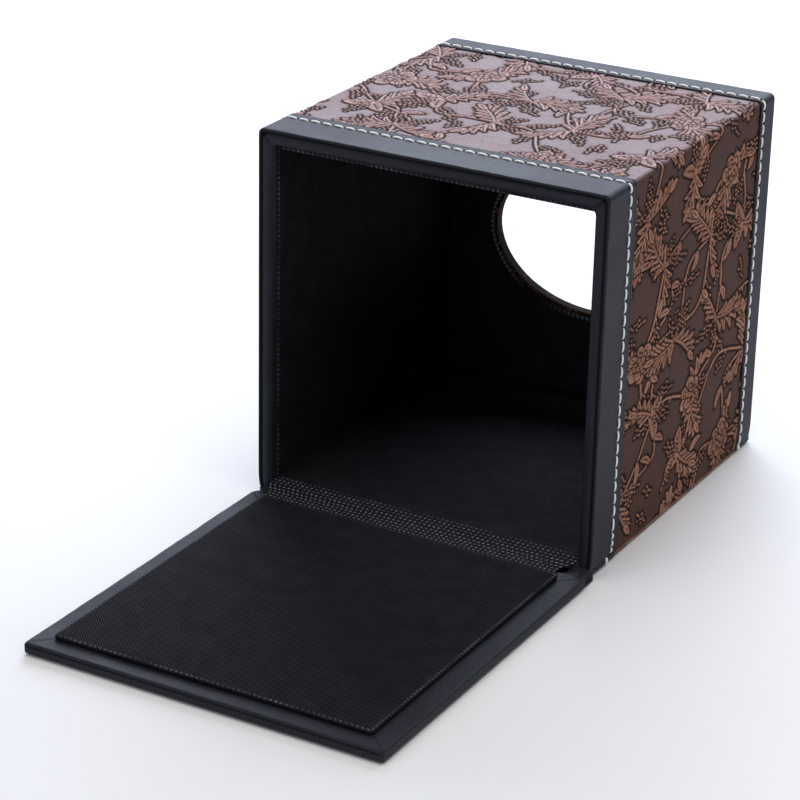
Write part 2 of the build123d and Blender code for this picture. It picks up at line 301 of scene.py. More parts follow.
# ---- The embossed pattern: vines, sprays of finger leaves, veined leaves, beads and open flowers ----
# It is drawn in its own units; one unit is this many mm round the box and along its depth.
UNIT = np.array([1.25, 1.5])
FAR = 9.0
RAISED, PRESSED = 0.28, 0.24  # mm that the shapes stand up and their outlines sink
# The pressed line's darkness is painted shade, put in through the groove field.
MOAT = 0.40  # width of the dark line pressed round a raised shape
CUT = 0.17  # half width of a vein pressed into a raised shape


class Relief:
    """A sheet of embossing: distance to the edge of the raised shapes, below zero on them."""

    def __init__(self, width, height, step=0.2):
        self.step = step
        self.shape = (int(height / step) + 2, int(width / step) + 2)
        self.field = np.full(self.shape, FAR)

    def near(self, points, half):
        """The cells round a line, and their distance to its edge. half is its half width at each point."""
        points, half = np.asarray(points, float), np.broadcast_to(half, len(points))
        margin = half.max() + 1.6
        low = np.floor((points.min(0) - margin) / self.step).astype(int)
        high = np.ceil((points.max(0) + margin) / self.step).astype(int) + 1
        x0, y0 = np.maximum(low, 0)
        x1, y1 = np.minimum(high, self.shape[::-1])
        if x0 >= x1 or y0 >= y1:
            return None, None
        ys, xs = np.mgrid[y0:y1, x0:x1] * self.step
        best = np.full(xs.shape, FAR)
        for (ax, ay), (bx, by), start, end in zip(points, points[1:], half, half[1:]):
            dx, dy = bx - ax, by - ay
            along = held(((xs - ax) * dx + (ys - ay) * dy) / max(dx * dx + dy * dy, 1e-9))
            away = np.hypot(xs - ax - along * dx, ys - ay - along * dy)
            best = np.minimum(best, away - start - (end - start) * along)
        return (slice(y0, y1), slice(x0, x1)), best

    def lift(self, points, half, moat=0.0):
        """Raises a line, with a moat round it where it crosses what is there."""
        where, away = self.near(points, half)
        if where:
            self.field[where] = np.minimum(np.maximum(self.field[where], moat - away), away)

    def cut(self, points, half=CUT):
        """Presses a thin line into what is raised."""
        where, away = self.near(points, half)
        if where:
            self.field[where] = np.maximum(self.field[where], -away)

    def free(self, spot, reach):
        """Whether nothing is raised within reach of a spot."""
        column, row = (int(v / self.step) for v in spot)
        cells = int(reach / self.step)
        window = self.field[max(0, row - cells):row + cells, max(0, column - cells):column + cells]
        return window.size > 0 and window.min() > MOAT

    def sample(self, x, y):
        """The field at points in mm, read between its cells."""
        fx = np.clip(x / UNIT[0] / self.step, 0, self.shape[1] - 1.001)
        fy = np.clip(y / UNIT[1] / self.step, 0, self.shape[0] - 1.001)
        ix, iy = fx.astype(int), fy.astype(int)
        tx, ty = fx - ix, fy - iy
        low = self.field[iy, ix] * (1 - tx) + self.field[iy, ix + 1] * tx
        high = self.field[iy + 1, ix] * (1 - tx) + self.field[iy + 1, ix + 1] * tx
        return low * (1 - ty) + high * ty


def turned(points, origin, angle):
    """Points drawn along +X, turned by angle and moved to origin."""
    c, s = math.cos(angle), math.sin(angle)
    return np.array(points) @ np.array([[c, s], [-s, c]]) + np.array(origin)


def leaf(relief, origin, angle, length, width, bow=0.0, veins=0):
    """A raised pointed leaf; a slit or a midrib with side veins is pressed into it."""
    t = np.linspace(0, 1, 9)
    axis = turned(np.stack([length * t, bow * np.sin(math.pi * t)], 1), origin, angle)
    half = 0.12 + width / 2 * np.sin(math.pi * t ** 0.75) ** 0.7
    relief.lift(axis, half, MOAT)
    if width > 1.5:
        relief.cut(axis[2:-2])
    for i in range(veins):
        at = (i + 1.1) / (veins + 1.4)
        reach = width / 2 * math.sin(math.pi * min(1, at + 0.14) ** 0.75) * 0.8
        mid = bow * math.sin(math.pi * at)
        for side in (-1, 1):
            vein = [(length * at, mid), (length * at + reach * 0.9, mid + side * reach)]
            relief.cut(turned(vein, origin, angle), 0.15)


def spray(relief, rng, origin, angle, length, reach, sides):
    """Finger leaves laid like a feather along a bent stalk, the lowest first, on one side or both."""
    bend = rng.choice((-1, 1)) * rng.uniform(0.12, 0.3)
    t = np.linspace(0, 1, 8)
    stalk = turned(np.stack([length * t, bend * length * t * t], 1), origin, angle)
    count = round(length / 2.1)
    for i in range(count):
        at = (i + 0.3) / count
        foot = turned([(length * at, bend * length * at * at)], origin, angle)[0]
        heading = angle + math.atan(2 * bend * at)
        size = reach * (0.6 + 0.45 * math.sin(math.pi * (0.2 + 0.7 * at)))
        for side in sides:
            lean = side * (0.95 - 0.5 * at) * rng.uniform(0.85, 1.15)
            finger = size * rng.uniform(0.8, 1.15)
            leaf(relief, foot, heading + lean, finger, rng.uniform(1.5, 2.0), -side * finger * 0.14)
    relief.lift(stalk, 0.3, 0.2)
    leaf(relief, stalk[-1], angle + math.atan(2 * bend), reach * 0.8, 1.8)


def bunch(relief, rng, origin, angle, length, width):
    """A tapering bunch of separate beads on a short stalk."""
    spacing = 1.55
    relief.lift(turned([(0, 0), (length * 0.12, 0.3), (length * 0.24, 0)], origin, angle), 0.26)
    rows = int(length / (spacing * 0.9))
    for i in range(rows):
        t = (i + 0.5) / rows
        half = width / 2 * min(1.0, t / 0.2) * (1 - t) ** 0.5
        across = max(1, round(2 * half / spacing))
        for k in range(across):
            x = length * (0.2 + 0.8 * t) + rng.uniform(-0.12, 0.12)
            y = (k - (across - 1) / 2 + 0.25 * (-1) ** i) * spacing + rng.uniform(-0.12, 0.12)
            bead = turned([(x, y), (x + 0.2, y)], origin, angle)
            relief.lift(bead, rng.uniform(0.32, 0.42), 0.4)


def petal(relief, origin, angle, length, width, veins):
    """A raised round-ended petal with a few veins."""
    t = np.linspace(0, 1, 7)
    half = 0.2 + (width / 2 - 0.2) * t ** 0.7
    reach = (length - width / 2) * t
    relief.lift(turned(np.stack([reach, 0 * t], 1), origin, angle), half, MOAT)
    for i in range(veins):
        share = (i - (veins - 1) / 2) / max(1, veins)
        vein = [(length * 0.42, share * width * 0.3), (length * 0.84, share * width * 0.8)]
        relief.cut(turned(vein, origin, angle), 0.16)


def flower(relief, rng, centre, radius, turn):
    """An open flower: three rings of petals round a heart."""
    for ring, (share, count, veins) in enumerate(((1.0, 6, 3), (0.66, 5, 2), (0.38, 4, 0))):
        for i in range(count):
            angle = turn + ring * 0.5 + math.tau * i / count + rng.uniform(-0.16, 0.16)
            length = radius * share * rng.uniform(0.84, 1.1)
            petal(relief, centre, angle, length, length * rng.uniform(0.62, 0.8), veins)
    relief.lift(np.array([centre, centre]) + [[-0.3, 0], [0.3, 0]], 0.55, MOAT)


def curve_through(points, steps=10):
    """A smooth curve through points (Catmull-Rom)."""
    p = np.array(points, float)
    p = np.concatenate([[2 * p[0] - p[1]], p, [2 * p[-1] - p[-2]]])
    t = np.linspace(0, 1, steps, endpoint=False)[:, None]
    spans = []
    for a, b, c, d in zip(p, p[1:], p[2:], p[3:]):
        square, cube = 2 * a - 5 * b + 4 * c - d, 3 * b - a - 3 * c + d
        spans.append(b + 0.5 * ((c - a) * t + square * t**2 + cube * t**3))
    return np.concatenate(spans + [p[-2:-1]])


def vine(relief, rng, points):
    """A long stem with bunches and short leaves on alternate sides."""
    line = curve_through(points)
    relief.lift(line, np.linspace(0.40, 0.28, len(line)), 0.3)
    side = 1
    for at in range(6, len(line) - 4, 7):
        run = line[at + 1] - line[at]
        angle = math.atan2(run[1], run[0]) + side * rng.uniform(0.5, 0.9)
        if rng.random() < 0.7:
            bunch(relief, rng, line[at], angle, rng.uniform(7, 11), rng.uniform(3.2, 5.5))
        else:
            leaf(relief, line[at], angle, rng.uniform(5, 7), 1.9, side * 0.8)
        side = -side


def flower_field(width, height, seed):
    """An all-over floral embossing for a sheet in mm: stems, then sprays, bunches and flowers."""
    rng = random.Random(seed)
    width, height = width / UNIT[0], height / UNIT[1]
    relief = Relief(width, height)
    cell = 22.0
    columns, rows = max(2, round(width / cell)), max(2, round(height / cell))
    spots = {}
    for i in range(-1, columns + 1):
        for j in range(-1, rows + 1):
            x = (i + 0.5 + rng.uniform(-0.2, 0.2)) * width / columns
            y = (j + 0.25 + 0.5 * (i % 2) + rng.uniform(-0.2, 0.2)) * height / rows
            spots[i, j] = np.array([x, y])
    for (i, j), here in spots.items():
        for di, dj in ((1, 0), (1, -1)):
            there = spots.get((i + di, j + dj))
            if there is not None and rng.random() < 0.7:
                run = there - here
                across = np.array([-run[1], run[0]]) * rng.choice((-1, 1)) * rng.uniform(0.2, 0.4)
                vine(relief, rng, [here, here + run * 0.33 + across, here + run * 0.7 + across * 0.4, there])
    for (i, j), here in spots.items():
        kind = (3 * i + 5 * j) % 4
        turn = rng.uniform(0, math.tau)
        if kind == 0:
            spray(relief, rng, here, turn, 11, 6.5, (-1, 1))
            spray(relief, rng, here, turn + 2.6, 9, 6.0, (1,))
            flower(relief, rng, here, rng.uniform(5.2, 6.4), turn)
        elif kind == 3:
            leaf(relief, here, turn + 0.4, 9, 4.0, 0.8, veins=4)
            leaf(relief, here, turn + 2.4, 8, 3.6, -0.8, veins=4)
            spray(relief, rng, here, turn + 4.2, 9, 5.5, (-1, 1))
            bunch(relief, rng, here, turn + 1.3, 11, 5.5)
        else:
            spray(relief, rng, here, turn, rng.uniform(10, 13), 6.5, (-1, 1))
            spray(relief, rng, here, turn + 2.4, rng.uniform(8, 11), 6.0, (1,))
            bunch(relief, rng, here, turn + 3.8, 12, 5.0)
            bunch(relief, rng, here, turn + 4.9, 9, 4.0)
    for _ in range(columns * rows * 12):
        spot = np.array([rng.uniform(0, width), rng.uniform(0, height)])
        if relief.free(spot, 2.0):
            bunch(relief, rng, spot, rng.uniform(0, math.tau), rng.uniform(5, 9), rng.uniform(3, 5.5))
    return relief


def emboss(away, painted_top_light=0.0):
    """Height in mm, and the crest, the groove with its painted shade, and the painted top light of the
    leather, by distance from an edge.
    """
    crest = ease(held((0.05 - away) / 0.22))
    inside = held((-away - 0.30) / 0.26)
    groove = swell(away, 0.34, 0.24) * (1 - crest)
    halo = swell(np.maximum(away, 0), 0, 0.9) * (1 - crest)
    height = RAISED * crest - 0.08 * inside - PRESSED * groove - 0.07 * halo
    # The groove field, the moat plus a wide halo round each shape, darkens the colour: painted shade.
    fields = {"crest": crest * (1 - 0.92 * inside), "groove": held(1.15 * groove + 0.28 * halo)}
    fields["painted_top_light"] = painted_top_light + 0 * away
    return height, fields


def embossed(u, v, size, seed, painted_top_light=0.0):
    """What emboss gives at places on a sheet of this size in mm, with its own flowers."""
    return emboss(flower_field(*size, seed).sample(u, v), painted_top_light)


# ---- Materials ----
class Shader:
    """A material whose nodes are added one call at a time."""

    def __init__(self, name):
        self.material = bpy.data.materials.new(name)
        self.material.use_nodes = True
        self.tree = self.material.node_tree
        self.tree.nodes.clear()

    def add(self, kind, inputs=(), **settings):
        node = self.tree.nodes.new("ShaderNode" + kind)
        for key, value in settings.items():
            setattr(node, key, value)
        for key, value in dict(inputs).items():
            if isinstance(value, bpy.types.NodeSocket):
                self.tree.links.new(value, node.inputs[key])
            else:
                node.inputs[key].default_value = value
        return node

    def place(self):
        """Where a point is in the object, in metres."""
        return self.add("TexCoord").outputs["Object"]

    def stored(self, name, kind="Fac"):
        """A number or a vector kept on the mesh."""
        return self.add("Attribute", attribute_name=name).outputs[kind]

    def math(self, operation, *values):
        return self.add("Math", enumerate(values), operation=operation).outputs[0]

    def mix(self, share, a, b):
        inputs = {0: share, 6: a, 7: b}
        return self.add("Mix", inputs, data_type="RGBA").outputs[2]

    def span(self, value, low, high, to_low=0.0, to_high=1.0):
        """A value's place between low and high, as a number from to_low to to_high."""
        inputs = {"Value": value, "From Min": low, "From Max": high, "To Min": to_low, "To Max": to_high}
        return self.add("MapRange", inputs, interpolation_type="SMOOTHSTEP").outputs[0]

    def mottled(self, cloud, a, b, low=0.3):
        """A colour from a to b by a noise."""
        return self.mix(self.span(cloud, low, 0.7), (*a, 1), (*b, 1))

    def total(self, *terms):
        """The sum of values, each with its weight."""
        result = 0.0
        for value, weight in terms:
            result = self.math("MULTIPLY_ADD", value, weight, result)
        return result

    def noise(self, where, scale, detail=3.0, roughness=0.55):
        inputs = {"Vector": where, "Scale": scale, "Detail": detail, "Roughness": roughness}
        return self.add("TexNoise", inputs).outputs["Fac"]

    def cells(self, where, scale, feature="F1"):
        return self.add("TexVoronoi", {"Vector": where, "Scale": scale}, feature=feature).outputs["Distance"]

    def bump(self, height, strength, reach_mm, under=None):
        inputs = {"Height": height, "Strength": strength, "Distance": reach_mm * MM}
        if under is not None:
            inputs["Normal"] = under
        return self.add("Bump", inputs).outputs["Normal"]

    def finish(self, colour, roughness, normal, **plain):
        inputs = {"Base Color": colour, "Roughness": roughness, "Normal": normal}
        inputs.update({key.replace("_", " "): value for key, value in plain.items()})
        shader = self.add("BsdfPrincipled", inputs)
        output = self.add("OutputMaterial", {"Surface": shader.outputs[0]})
        output.is_active_output = True
        return self.material


def smooth_leather():
    """Black leather with a fine pebble grain and soft wear; painted shade darkens its creases and needle
    holes.
    """
    s = Shader("black_band_leather")
    where = s.place()
    pebbles = s.cells(where, 1500)
    pores = s.noise(where, 2600, 2)
    cloud = s.noise(where, 38, 4)
    painted_shade = s.stored("painted_shade")
    base = s.mottled(cloud, (0.015, 0.016, 0.023), (0.021, 0.022, 0.032), 0.35)
    # Painted shade: the colour goes near black where the mesh marks creases, welts and needle holes.
    colour = s.mix(painted_shade, base, (0.002, 0.002, 0.002, 1))
    grain = s.total((pebbles, 0.7), (pores, 0.5))
    rough = s.total((s.span(cloud, 0.3, 0.7, 0.52, 0.60), 1.0), (painted_shade, 0.4))
    waves = s.bump(s.noise(where, 120, 3), 0.25, 0.5)
    normal = s.bump(grain, 0.60, 0.15, waves)
    return s.finish(colour, rough, normal, Specular_IOR_Level=0.17)


def embossed_leather():
    """Waxed antique brown leather: painted shade in its recesses, fine grain, crests rubbed to copper with a
    painted highlight, and painted light making the top paler.
    """
    s = Shader("embossed_antique_leather")
    where = s.place()
    cloud = s.noise(where, 45, 4)
    speck = s.noise(where, 900, 3)
    crest, groove, painted_top_light = s.stored("crest"), s.stored("groove"), s.stored("painted_top_light")
    ground = s.mottled(cloud, (0.050, 0.019, 0.012), (0.074, 0.029, 0.018))
    # Painted light: where the face looks up, the ground and the copper are mixed towards these paler
    # colours.
    pale = s.mottled(cloud, (0.165, 0.086, 0.078), (0.215, 0.113, 0.102))
    ground = s.mix(painted_top_light, ground, pale)
    ground = s.mix(s.span(speck, 0.45, 0.7, 0.0, 0.55), ground, (0.022, 0.011, 0.009, 1))
    copper = s.mottled(cloud, (0.33, 0.150, 0.095), (0.50, 0.26, 0.175))
    top_lit_copper = s.mottled(cloud, (0.37, 0.215, 0.19), (0.50, 0.30, 0.265))
    copper = s.mix(painted_top_light, copper, top_lit_copper)
    # Copper on the crests: partly a real rubbed finish, partly a painted highlight.
    rub_and_highlight = s.math("MULTIPLY", crest, s.span(speck, 0.2, 0.5, 0.6, 1.0))
    # Painted shade: the grooves and halos go near black.
    colour = s.mix(groove, ground, (0.0015, 0.0015, 0.0015, 1))
    colour = s.mix(rub_and_highlight, colour, copper)
    rough = s.total((s.span(cloud, 0.3, 0.7, 0.70, 0.78), 1.0), (painted_top_light, -0.21), (groove, 0.45))
    grain = s.total((s.cells(where, 1900), 1.0), (speck, 0.8))
    normal = s.bump(grain, 0.45, 0.12)
    return s.finish(colour, rough, normal, Specular_IOR_Level=0.3, Specular_Tint=(1.0, 0.88, 0.84, 1))


def lining_cloth():
    """Black non-woven cloth with staggered bonded dots; the edges carry a line of larger ones."""
    s = Shader("black_nonwoven_lining")
    cloth = s.stored("cloth", "Vector")
    edge = s.stored("edge")
    axes = s.add("SeparateXYZ", {0: cloth})
    pitch = 1.15  # of the lattice, in mm
    diagonal = s.math("ADD", axes.outputs[0], axes.outputs[1])
    other = s.math("SUBTRACT", axes.outputs[0], axes.outputs[1])
    waves = [s.math("SINE", s.math("MULTIPLY", run, math.pi / pitch)) for run in (diagonal, other)]
    lattice = s.math("ABSOLUTE", s.math("MULTIPLY", *waves))
    fibres = s.noise(cloth, 9.0, 4, 0.7)
    cloud = s.noise(cloth, 0.11, 3)
    dots = s.math("MULTIPLY", s.span(lattice, 0.58, 0.95), s.span(cloud, 0.3, 0.7, 0.6, 1.0))
    shine = s.math("MULTIPLY", dots, s.span(fibres, 0.38, 0.6, 0.1, 1.0))
    colour = s.mix(shine, (0.0022, 0.0022, 0.0028, 1), (0.125, 0.125, 0.155, 1))
    colour = s.mix(edge, colour, (0.42, 0.42, 0.48, 1))
    rough = s.span(shine, 0.0, 1.0, 0.85, 0.55)
    normal = s.bump(s.total((lattice, 0.7), (fibres, 0.6)), 0.6, 0.25)
    return s.finish(colour, rough, normal, Specular_IOR_Level=0.1)


def white_thread():
    """Waxed two-ply thread, with painted shade along the twist between its plies."""
    s = Shader("waxed_white_thread")
    where = s.place()
    fuzz = s.noise(where, 1800, 3)
    ply = s.stored("ply")
    colour = s.mottled(fuzz, (0.90, 0.90, 0.89), (0.97, 0.97, 0.96))
    # Painted shade: the thread is darker along its ply lines.
    colour = s.mix(s.math("MULTIPLY", ply, 0.2), colour, (0.50, 0.49, 0.48, 1))
    rough = s.span(fuzz, 0.3, 0.7, 0.45, 0.6)
    normal = s.bump(s.math("SUBTRACT", fuzz, ply), 0.5, 0.1)
    return s.finish(colour, rough, normal)


def greyboard():
    """Pressed grey board with fibres and flecks."""
    s = Shader("pressed_greyboard")
    where = s.place()
    pulp, fleck = s.noise(where, 160, 5), s.noise(where, 1200, 2)
    colour = s.mottled(pulp, (0.34, 0.32, 0.29), (0.46, 0.44, 0.40))
    colour = s.mix(s.span(fleck, 0.62, 0.75, 0.0, 0.6), colour, (0.20, 0.19, 0.17, 1))
    normal = s.bump(pulp, 0.4, 0.3)
    return s.finish(colour, s.span(fleck, 0.3, 0.7, 0.82, 0.92), normal)


def nickel():
    """Nickel plate on a bar magnet, lightly scuffed."""
    s = Shader("nickel_plate")
    where = s.place()
    scuff = s.noise(where, 700, 4)
    colour = s.mottled(scuff, (0.62, 0.61, 0.59), (0.72, 0.71, 0.69), 0.35)
    normal = s.bump(scuff, 0.15, 0.05)
    return s.finish(colour, s.span(scuff, 0.3, 0.7, 0.22, 0.36), normal, Metallic=1.0)


BLACK = smooth_leather()
BROWN = embossed_leather()
LINING = lining_cloth()
THREAD = white_thread()
BOARD = greyboard()
NICKEL = nickel()


# ---- Stitching ----
ALONG_X, ALONG_Y, ALONG_Z = np.eye(3)


def stitch_row(at, holes, across, seed, size=1.0):
    """Rings and ply of a row of stitches. at(distance) gives points and normals; across is sideways."""
    rng = random.Random(seed)
    parts = []
    lengths = np.linspace(0, 1, 13)
    angles = np.linspace(0, math.tau, 12, endpoint=False)
    for first, last in zip(holes, holes[1:]):
        start, end = first + 0.28, last - 0.28
        middle, normal = at(start + (end - start) * lengths)
        lift = 0.45 * np.sin(math.pi * lengths) ** 0.5 - 0.28
        lean = rng.uniform(-0.10, 0.10) + 0.14 * (1 - 2 * lengths)
        centre = middle + normal * lift[:, None] + across * lean[:, None]
        taper = (1 - np.abs(2 * lengths - 1) ** 4.0) ** 0.5
        width = 0.49 * size * (0.25 + 0.75 * taper[:, None])
        height = 0.33 * size * (0.3 + 0.7 * taper[:, None])
        twist = (start + (end - start) * lengths)[:, None] * 2.6 + angles
        ply = held(1 - np.abs(np.sin(twist)) * 2.2)
        swollen = 1 - 0.10 * ply
        sideways = (width * np.cos(angles) * swollen)[..., None] * across
        upward = (height * np.sin(angles) * swollen)[..., None] * normal[:, None]
        parts.append((centre[:, None] + sideways + upward, {"ply": ply}))
    return parts


def along_arch(line, normals, y):
    """A place finder for a row that runs along an arch at one y."""
    run = distance(line)

    def at(where):
        x, z = (np.interp(where, run, line[:, k]) for k in (0, 1))
        nx, nz = (np.interp(where, run, normals[:, k]) for k in (0, 1))
        return np.stack([x, where * 0 + y, z], 1), np.stack([nx, where * 0, nz], 1)

    return at


def along_line(start, end, normal):
    """A place finder for a straight row."""
    start, end = np.array(start, float), np.array(end, float)
    heading = (end - start) / np.linalg.norm(end - start)

    def at(where):
        return start + where[:, None] * heading, np.broadcast_to(normal, (len(where), 3))

    return at


def hole_places(length, start=0.0):
    """Needle holes at an even pitch that fits the length."""
    return np.linspace(start, length, round((length - start) / PITCH) + 1)


# ---- The box's leather ----
# The front row's last holes, counted up from its foot on the right, lie closer than the others.
LAST_HOLES = np.array([8.9, 6.0, 3.2, FIRST_HOLE])
LEAST_GAP = 2.5  # between them and the evenly spaced holes


def long_counts(half, top, foot, radius, step):
    """How many points an arch needs on its legs, bends and bridge."""
    return round((top - foot - radius) / step), max(6, round(radius * 4)), round(2 * (half - radius) / step)


def wrap_piece():
    """The embossed sheet over the left side, the top and the right side."""
    half, top = WRAP_HIGH[0], WRAP_HIGH[2]
    radius, step = OUTER_BEND - HEM, 0.4
    counts = long_counts(half, top, FOOT, radius, step)
    line, normals = arch(half, top, FOOT, radius, counts, FOOT_TUCK)
    inner, _ = arch(half - LEATHER, top - LEATHER, FOOT, radius - LEATHER, counts, FOOT_TUCK)
    front, rear = WRAP_LOW[1], WRAP_HIGH[1]
    profile = outline([(front, 0, 0, step), (rear, 0, 0, 9), (rear, LEATHER, 0, 40), (front, LEATHER, 0, 9)])
    rings = sweep(line, inner, LEATHER, profile)
    run = distance(line)
    places = np.broadcast_arrays(run[:, None], profile[:, 0] - front)
    # Painted light: the leather is made paler where its face looks up.
    height, fields = embossed(*places, (run[-1], rear - front), 11, held(normals[:, 1:]) ** 2)
    rings = raised(rings, height * (profile[:, 1] == 0))
    # Painted shadow beside the bands' folded edges: the leather there is darkened and loses its copper.
    beside = nearest(profile[:, 0], np.array([BAND_HIGH[1], REAR_LOW[1]]))[None]
    fields["groove"] = np.maximum(fields["groove"], swell(beside, 0, 0.7))
    fields["crest"] = fields["crest"] * (1 - swell(beside, 0, 0.5))
    cover("embossed_cover", "embossed_wrap", BROWN, (rings, fields))


def band_marks(run, y, row, holes):
    """Sinking in mm along a band's stitch row, and the painted shade of its needle holes."""
    groove = swell(y, row, 0.55)[None]
    away = np.hypot(nearest(run, holes)[:, None], (y - row)[None])
    hole = swell(away, 0, HOLE_SIZE)
    return 0.16 * groove + 0.30 * hole, held(1.4 * hole)


def band_arch(foot):
    """The line of a band's face over the box, its normals, and how many points its parts have."""
    half, top = BAND_HIGH[0], BAND_HIGH[2]
    counts = long_counts(half, top, foot, OUTER_BEND, FINE)
    return *arch(half, top, foot, OUTER_BEND, counts, FOOT_TUCK), counts


def front_band_piece():
    """The smooth band: folded edge, stitched face, soft rim round the mouth, turned in to the lining."""
    top, foot = BAND_HIGH[2], FOOT + FOLD_RISE
    line, normals, counts = band_arch(foot)
    leg, bend, bridge = counts
    inner, _ = arch(ROOM_HALF, ROOM_TOP, foot, INNER_BEND, counts)
    fold, rim, end = BAND_HIGH[1], BAND_LOW[1], LINING_FRONT
    profile = outline([
        (fold, HEM, 0.15, 1.0),
        (fold, 0, 0.34, 0.34),
        (rim, 0, 0.9, 0.2),
        (rim, 3.0, 0, 0.4),
        (rim, RIM_DEPTH, 1.5, 0.4),
        (end, RIM_DEPTH, 0.3, 1.0),
        (end, RIM_DEPTH - LEATHER, 0, 1.5),
        (rim + 1.2, RIM_DEPTH - LEATHER, 0, 1.5),
        (rim + 1.2, HEM + LEATHER, 0, 4.0),
        (WRAP_LOW[1], HEM + LEATHER, 0, 1.5),
        (WRAP_LOW[1], HEM, 0, 1.5),
    ])
    rings = sweep(line, inner, RIM_DEPTH, profile)
    run, (y, depth) = distance(line), profile.T
    holes = hole_places(run[-1] - FIRST_HOLE, FIRST_HOLE)
    shorter = run[-1] - LAST_HOLES
    holes = np.concatenate([holes[holes < shorter[0] - LEAST_GAP], shorter])
    face = (depth < 0.2) * plateau(y, rim + 1.0, fold, 0.6)
    sink, painted_shade = band_marks(run, y, FRONT_ROW_Y, holes)
    rim_face = plateau(depth, 1.0, RIM_DEPTH - 1.0, 0.8) * (y < rim + 0.6)
    mitres = run[[leg + bend // 2, leg + bend + bridge + bend // 2]]
    mitre = swell(nearest(run, mitres)[:, None], 0, 0.5) * rim_face
    magnet_low, magnet_high = corners("rim_magnet")
    magnet = plateau(line[:, 0], magnet_low[0], magnet_high[0], 2.5) * (line[:, 1] > top - 0.1)
    magnet_depth = top - (magnet_low[2] + magnet_high[2]) / 2
    bulge = magnet[:, None] * swell(depth, magnet_depth, 1.3) * rim_face
    uneven = 0.10 * wobble(run, 3)[:, None] * (face + rim_face)
    uneven = uneven + 0.05 * wobble(run, 4, 17)[:, None] * face
    bead = 0.10 * swell(y, fold - 0.7, 0.5) * (depth < 0.3)
    on_rim = y < rim + 0.5
    welt = swell(depth, 1.3, 0.55) * on_rim
    behind_welt = held((depth - 1.35) / (RIM_DEPTH - 1.35))
    sunk = 0.5 * held(behind_welt / 0.08) * held(1 - (y - rim) / 1.5) ** 2
    cheek = 0.55 * np.sin(math.pi * behind_welt) * on_rim - sunk
    lift = bead + 0.10 * bulge - sink * face - 0.15 * mitre - 0.45 * welt + cheek - np.abs(uneven)
    # Painted shade in the needle holes, the mitres and the welt under the top edge.
    fields = {"painted_shade": held(painted_shade * face + 0.5 * mitre + 0.97 * welt)}
    cover("front_rim_band", "front_band", BLACK, (raised(rings, lift), fields))
    at = along_arch(line, normals, FRONT_ROW_Y)
    cover("front_stitches", "front_stitching", THREAD, *stitch_row(at, holes, ALONG_Y, 21))


def rear_band_piece():
    """The rear band: round the rear edges and on as a frame on the rear face."""
    half, top = BAND_HIGH[0], BAND_HIGH[2]
    line, normals, counts = band_arch(FOOT)
    sill = FRAME_WIDTH
    window, _ = arch(WINDOW, top - FRAME_WIDTH, sill, 0.6, counts)
    fold, rear, panel = REAR_LOW[1], REAR_HIGH[1], PANEL_HIGH[1]
    profile = outline([
        (fold, HEM, 0.15, 1.0),
        (fold, 0, 0.34, 0.34),
        (rear, 0, 1.9, 0.4),
        (rear, FRAME_WIDTH, 0.3, 0.4),
        (panel, FRAME_WIDTH, 0, 0.6),
        (panel, HEM + LEATHER, 0, 4.0),
        (WRAP_HIGH[1], HEM + LEATHER, 0, 2.0),
        (WRAP_HIGH[1], HEM, 0, 2.0),
    ])
    rings = sweep(line, window, FRAME_WIDTH, profile)
    run, (y, depth) = distance(line), profile.T
    holes = hole_places(run[-1] - FIRST_HOLE, FIRST_HOLE)
    face = (depth < 0.2) * plateau(y, fold, rear - 1.0, 0.6)
    sink, painted_shade = band_marks(run, y, REAR_ROW_Y, holes)
    back = (y > rear - 0.3) * plateau(depth, 2.0, FRAME_WIDTH, 0.6)
    inset = half - corners("rear_face_stitching")[1][0] + 0.35
    groove = swell(depth, inset, 0.55) * back
    bead = 0.10 * swell(y, fold + 0.7, 0.5) * (depth < 0.3)
    uneven = 0.10 * wobble(run, 5)[:, None] * (face + back)
    lift = bead - sink * face - 0.16 * groove - np.abs(uneven)
    # Painted shade in the needle holes.
    parts = [(raised(rings, lift), {"painted_shade": held(painted_shade * face)})]

    across = np.linspace(-1, 1, 340)
    lower = np.stack([across * (half - FOOT_TUCK), across * 0 + FOOT], 1)
    upper = np.stack([across * WINDOW, across * 0 + sill], 1)
    strip = outline([
        (rear, 0, 1.0, 0.4),
        (rear, FRAME_WIDTH, 0.3, 0.4),
        (panel, FRAME_WIDTH, 0, 2.0),
        (panel, 0, 0, 2.0),
    ])
    rings = sweep(lower, upper, FRAME_WIDTH, strip)
    row_depth = (inset - FOOT) * FRAME_WIDTH / (sill - FOOT)
    groove = 0.16 * swell(strip[:, 1], row_depth, 0.55) * (strip[:, 0] > rear - 0.3)
    parts.append((raised(rings, -groove[None]), {"painted_shade": np.zeros(rings.shape[:2])}))
    cover("rear_edge_band", "rear_band", BLACK, *parts)
    at = along_arch(line, normals, REAR_ROW_Y)
    cover("rear_stitches", "rear_stitching", THREAD, *stitch_row(at, holes, ALONG_Y, 22))

    left, right, lowest, highest = inset - half, half - inset, inset, top - inset
    turns = [(left, rear, lowest), (left, rear, highest), (right, rear, highest), (right, rear, lowest)]
    stitches = []
    for k, corner in enumerate(turns):
        at = along_line(corner, turns[(k + 1) % 4], ALONG_Y)
        length, across = ((top - 2 * inset, ALONG_X), (2 * (half - inset), ALONG_Z))[k % 2]
        stitches += stitch_row(at, hole_places(length), across, 30 + k)
    cover("rear_face_stitches", "rear_face_stitching", THREAD, *stitches)


